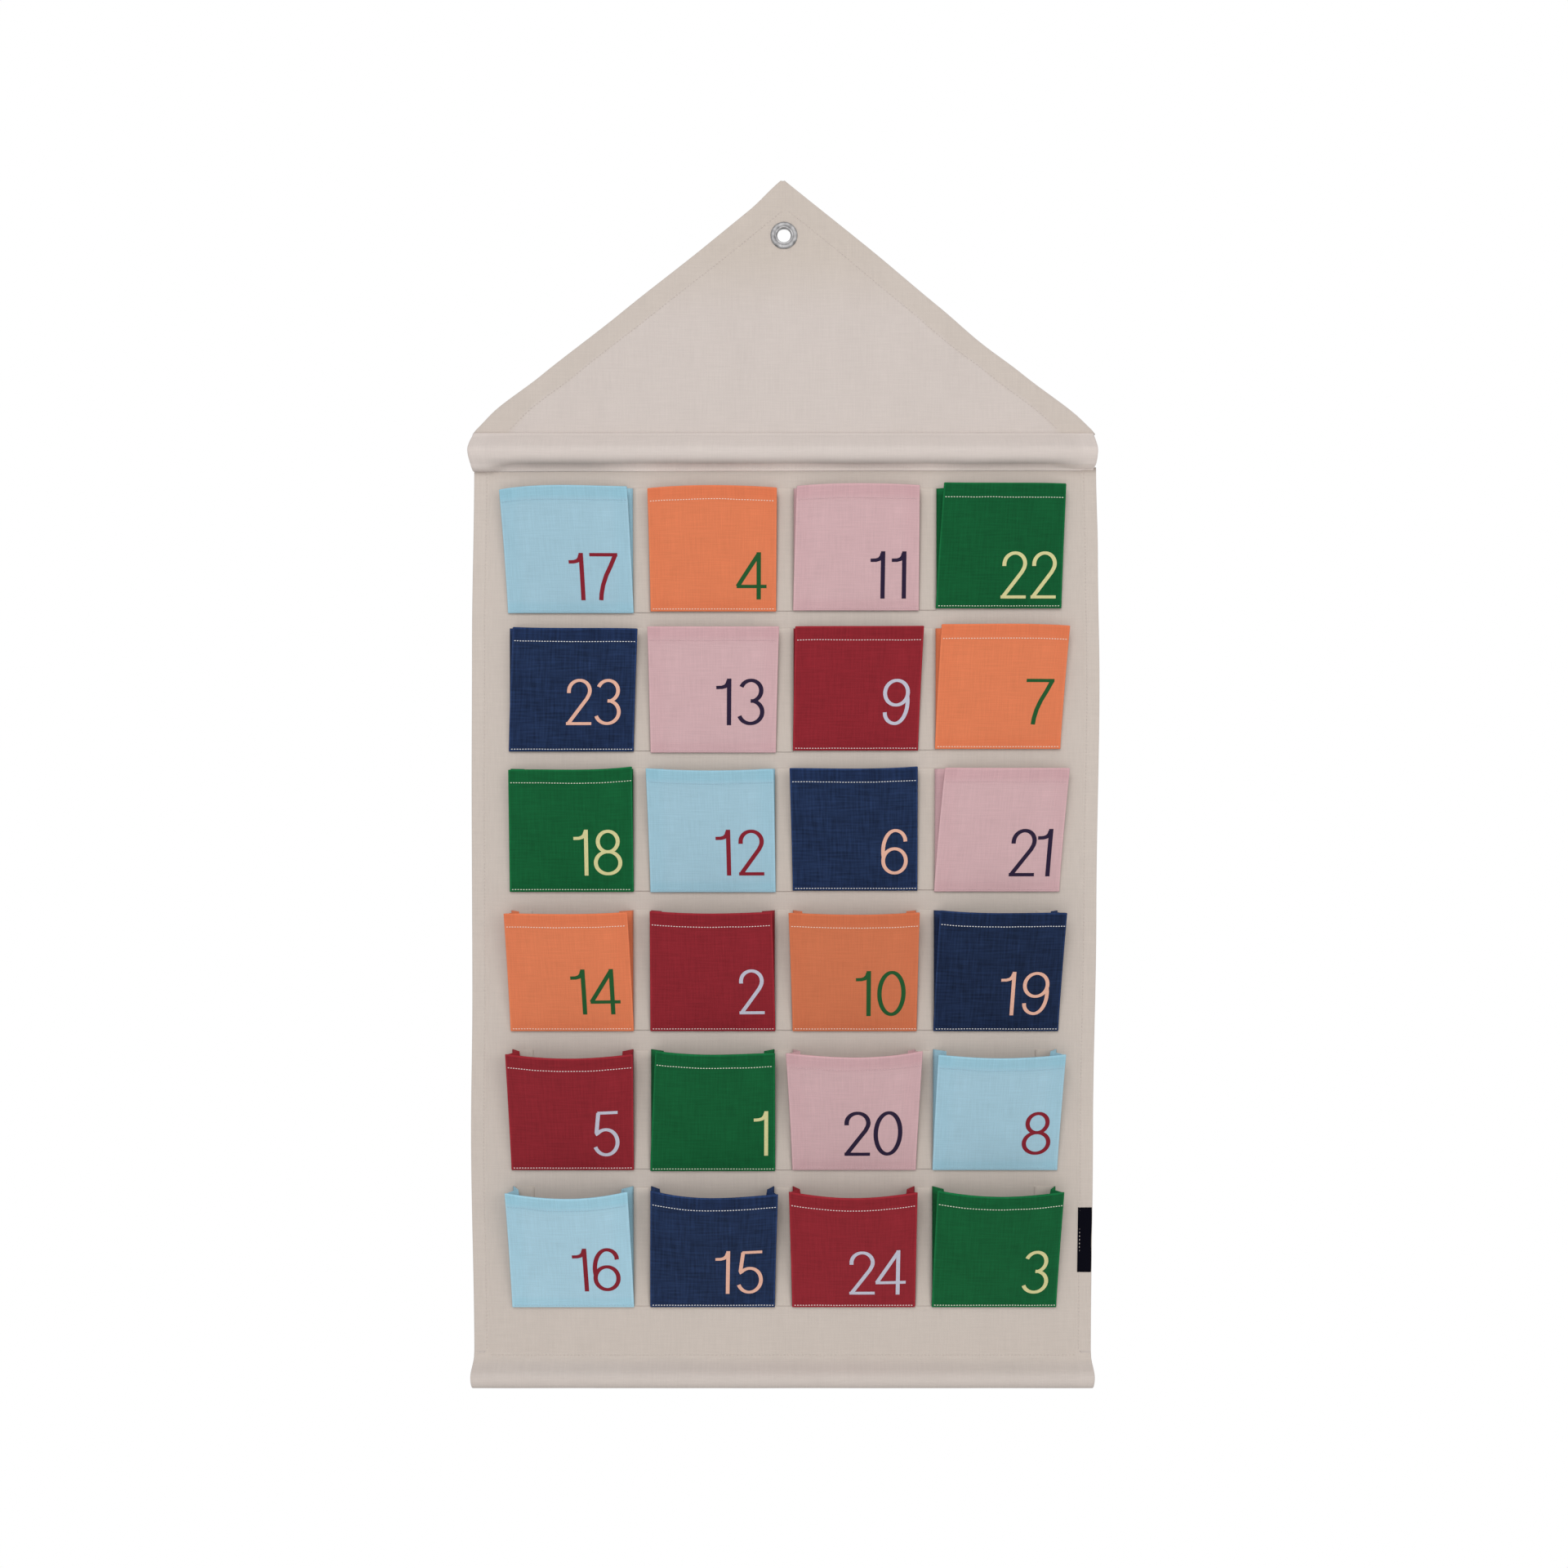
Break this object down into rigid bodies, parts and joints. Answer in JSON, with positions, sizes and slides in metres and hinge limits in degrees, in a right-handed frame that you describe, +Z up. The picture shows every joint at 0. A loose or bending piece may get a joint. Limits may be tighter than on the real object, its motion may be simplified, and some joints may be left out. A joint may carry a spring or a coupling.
{
  "type": "hanging fabric advent calendar",
  "caption": "House-shaped cloth advent calendar: a gable with a hanging eyelet over a panel between two cased rods, with rows of pleated, numbered gift pockets.",
  "frame": {"origin": "the eyelet's centre on the plane of the wall that the calendar hangs on", "axes": "+Z up towards the gable's apex, -Y out of the front towards the viewer, +X to the viewer's right"},
  "size_m": [0.522, 0.0317, 0.9996],
  "materials": {
    "natural_canvas": "undyed cotton canvas, plain weave",
    "light_blue_cotton": "dyed cotton, plain weave",
    "orange_cotton": "dyed cotton, plain weave",
    "pink_cotton": "dyed cotton, plain weave",
    "green_cotton": "dyed cotton, plain weave",
    "navy_cotton": "dyed cotton, plain weave",
    "red_cotton": "dyed cotton, plain weave",
    "black_ribbon": "woven satin ribbon, blank",
    "wood": "sanded, unvarnished",
    "chrome": "nickel-plated, bright"
  },
  "bodies": {
    "gable": {"gable_cloth": "natural_canvas", "eyelet_front": "chrome", "eyelet_washer": "chrome"},
    "panel": {"top_rod_casing": "natural_canvas", "bottom_rod_casing": "natural_canvas", "back_panel": "natural_canvas", "side_label": "black_ribbon", "pocket_17_pleats": "light_blue_cotton", "pocket_04_pleats": "orange_cotton", "pocket_11_pleats": "pink_cotton", "pocket_22_pleats": "green_cotton", "pocket_23_pleats": "navy_cotton", "pocket_13_pleats": "pink_cotton", "pocket_09_pleats": "red_cotton", "pocket_07_pleats": "orange_cotton", "pocket_18_pleats": "green_cotton", "pocket_12_pleats": "light_blue_cotton", "pocket_06_pleats": "navy_cotton", "pocket_21_pleats": "pink_cotton", "pocket_14_pleats": "orange_cotton", "pocket_02_pleats": "red_cotton", "pocket_10_pleats": "orange_cotton", "pocket_19_pleats": "navy_cotton", "pocket_05_pleats": "red_cotton", "pocket_01_pleats": "green_cotton", "pocket_20_pleats": "pink_cotton", "pocket_08_pleats": "light_blue_cotton", "pocket_16_pleats": "light_blue_cotton", "pocket_15_pleats": "navy_cotton", "pocket_24_pleats": "red_cotton", "pocket_03_pleats": "green_cotton"},
    "top_rod": {"top_rod": "wood"},
    "bottom_rod": {"bottom_rod": "wood"},
    "pocket_17": {"pocket_17_front": "light_blue_cotton"},
    "pocket_04": {"pocket_04_front": "orange_cotton"},
    "pocket_11": {"pocket_11_front": "pink_cotton"},
    "pocket_22": {"pocket_22_front": "green_cotton"},
    "pocket_23": {"pocket_23_front": "navy_cotton"},
    "pocket_13": {"pocket_13_front": "pink_cotton"},
    "pocket_09": {"pocket_09_front": "red_cotton"},
    "pocket_07": {"pocket_07_front": "orange_cotton"},
    "pocket_18": {"pocket_18_front": "green_cotton"},
    "pocket_12": {"pocket_12_front": "light_blue_cotton"},
    "pocket_06": {"pocket_06_front": "navy_cotton"},
    "pocket_21": {"pocket_21_front": "pink_cotton"},
    "pocket_14": {"pocket_14_front": "orange_cotton"},
    "pocket_02": {"pocket_02_front": "red_cotton"},
    "pocket_10": {"pocket_10_front": "orange_cotton"},
    "pocket_19": {"pocket_19_front": "navy_cotton"},
    "pocket_05": {"pocket_05_front": "red_cotton"},
    "pocket_01": {"pocket_01_front": "green_cotton"},
    "pocket_20": {"pocket_20_front": "pink_cotton"},
    "pocket_08": {"pocket_08_front": "light_blue_cotton"},
    "pocket_16": {"pocket_16_front": "light_blue_cotton"},
    "pocket_15": {"pocket_15_front": "navy_cotton"},
    "pocket_24": {"pocket_24_front": "red_cotton"},
    "pocket_03": {"pocket_03_front": "green_cotton"}
  },
  "joints": [
    {"name": "panel_fold", "type": "hinge", "parent": "gable", "child": "panel", "pos_m": [0, -0.0008, -0.1639], "axis": [-1, 0, 0], "range_deg": [-110, 110]},
    {"name": "top_rod_slide", "type": "slide", "parent": "panel", "child": "top_rod", "axis": [1, 0, 0], "range_m": [-0.52, 0.52]},
    {"name": "bottom_rod_slide", "type": "slide", "parent": "panel", "child": "bottom_rod", "axis": [1, 0, 0], "range_m": [-0.52, 0.52]},
    {"name": "pocket_17_open", "type": "hinge", "parent": "panel", "child": "pocket_17", "pos_m": [-0.17689, -0.0034, -0.3129], "axis": [1, 0, 0], "range_deg": [-4.2, 9.8], "deforming": ["pocket_17_pleats"]},
    {"name": "pocket_04_open", "type": "hinge", "parent": "panel", "child": "pocket_04", "pos_m": [-0.05859, -0.0034, -0.3129], "axis": [1, 0, 0], "range_deg": [-4.2, 9.8], "deforming": ["pocket_04_pleats"]},
    {"name": "pocket_11_open", "type": "hinge", "parent": "panel", "child": "pocket_11", "pos_m": [0.0597, -0.0034, -0.3129], "axis": [1, 0, 0], "range_deg": [-4.2, 9.8], "deforming": ["pocket_11_pleats"]},
    {"name": "pocket_22_open", "type": "hinge", "parent": "panel", "child": "pocket_22", "pos_m": [0.178, -0.0034, -0.3129], "axis": [1, 0, 0], "range_deg": [-4.2, 9.8], "deforming": ["pocket_22_pleats"]},
    {"name": "pocket_23_open", "type": "hinge", "parent": "panel", "child": "pocket_23", "pos_m": [-0.17702, -0.0034, -0.4269], "axis": [1, 0, 0], "range_deg": [-4.7, 9.4], "deforming": ["pocket_23_pleats"]},
    {"name": "pocket_13_open", "type": "hinge", "parent": "panel", "child": "pocket_13", "pos_m": [-0.05892, -0.0034, -0.4269], "axis": [1, 0, 0], "range_deg": [-4.7, 9.4], "deforming": ["pocket_13_pleats"]},
    {"name": "pocket_09_open", "type": "hinge", "parent": "panel", "child": "pocket_09", "pos_m": [0.05918, -0.0034, -0.4269], "axis": [1, 0, 0], "range_deg": [-4.7, 9.4], "deforming": ["pocket_09_pleats"]},
    {"name": "pocket_07_open", "type": "hinge", "parent": "panel", "child": "pocket_07", "pos_m": [0.17728, -0.0034, -0.4269], "axis": [1, 0, 0], "range_deg": [-4.7, 9.4], "deforming": ["pocket_07_pleats"]},
    {"name": "pocket_18_open", "type": "hinge", "parent": "panel", "child": "pocket_18", "pos_m": [-0.17716, -0.0034, -0.5431], "axis": [1, 0, 0], "range_deg": [-4.7, 9.4], "deforming": ["pocket_18_pleats"]},
    {"name": "pocket_12_open", "type": "hinge", "parent": "panel", "child": "pocket_12", "pos_m": [-0.05926, -0.0034, -0.5431], "axis": [1, 0, 0], "range_deg": [-4.7, 9.4], "deforming": ["pocket_12_pleats"]},
    {"name": "pocket_06_open", "type": "hinge", "parent": "panel", "child": "pocket_06", "pos_m": [0.05864, -0.0034, -0.5431], "axis": [1, 0, 0], "range_deg": [-4.7, 9.4], "deforming": ["pocket_06_pleats"]},
    {"name": "pocket_21_open", "type": "hinge", "parent": "panel", "child": "pocket_21", "pos_m": [0.17654, -0.0034, -0.5431], "axis": [1, 0, 0], "range_deg": [-4.7, 9.4], "deforming": ["pocket_21_pleats"]},
    {"name": "pocket_14_open", "type": "hinge", "parent": "panel", "child": "pocket_14", "pos_m": [-0.1773, -0.0034, -0.6596], "axis": [1, 0, 0], "range_deg": [-8.5, 4.4], "deforming": ["pocket_14_pleats"]},
    {"name": "pocket_02_open", "type": "hinge", "parent": "panel", "child": "pocket_02", "pos_m": [-0.0596, -0.0034, -0.6596], "axis": [1, 0, 0], "range_deg": [-8.5, 4.4], "deforming": ["pocket_02_pleats"]},
    {"name": "pocket_10_open", "type": "hinge", "parent": "panel", "child": "pocket_10", "pos_m": [0.0581, -0.0034, -0.6596], "axis": [1, 0, 0], "range_deg": [-8.5, 4.4], "deforming": ["pocket_10_pleats"]},
    {"name": "pocket_19_open", "type": "hinge", "parent": "panel", "child": "pocket_19", "pos_m": [0.1758, -0.0034, -0.6596], "axis": [1, 0, 0], "range_deg": [-8.5, 4.4], "deforming": ["pocket_19_pleats"]},
    {"name": "pocket_05_open", "type": "hinge", "parent": "panel", "child": "pocket_05", "pos_m": [-0.17743, -0.0034, -0.7749], "axis": [1, 0, 0], "range_deg": [-8.9, 3.8], "deforming": ["pocket_05_pleats"]},
    {"name": "pocket_01_open", "type": "hinge", "parent": "panel", "child": "pocket_01", "pos_m": [-0.05993, -0.0034, -0.7749], "axis": [1, 0, 0], "range_deg": [-8.9, 3.8], "deforming": ["pocket_01_pleats"]},
    {"name": "pocket_20_open", "type": "hinge", "parent": "panel", "child": "pocket_20", "pos_m": [0.05757, -0.0034, -0.7749], "axis": [1, 0, 0], "range_deg": [-8.9, 3.8], "deforming": ["pocket_20_pleats"]},
    {"name": "pocket_08_open", "type": "hinge", "parent": "panel", "child": "pocket_08", "pos_m": [0.17507, -0.0034, -0.7749], "axis": [1, 0, 0], "range_deg": [-8.9, 3.8], "deforming": ["pocket_08_pleats"]},
    {"name": "pocket_16_open", "type": "hinge", "parent": "panel", "child": "pocket_16", "pos_m": [-0.17756, -0.0034, -0.8886], "axis": [1, 0, 0], "range_deg": [-9.6, 2.6], "deforming": ["pocket_16_pleats"]},
    {"name": "pocket_15_open", "type": "hinge", "parent": "panel", "child": "pocket_15", "pos_m": [-0.06026, -0.0034, -0.8886], "axis": [1, 0, 0], "range_deg": [-9.6, 2.6], "deforming": ["pocket_15_pleats"]},
    {"name": "pocket_24_open", "type": "hinge", "parent": "panel", "child": "pocket_24", "pos_m": [0.05705, -0.0034, -0.8886], "axis": [1, 0, 0], "range_deg": [-9.6, 2.6], "deforming": ["pocket_24_pleats"]},
    {"name": "pocket_03_open", "type": "hinge", "parent": "panel", "child": "pocket_03", "pos_m": [0.17435, -0.0034, -0.8886], "axis": [1, 0, 0], "range_deg": [-9.6, 2.6], "deforming": ["pocket_03_pleats"]}
  ]
}
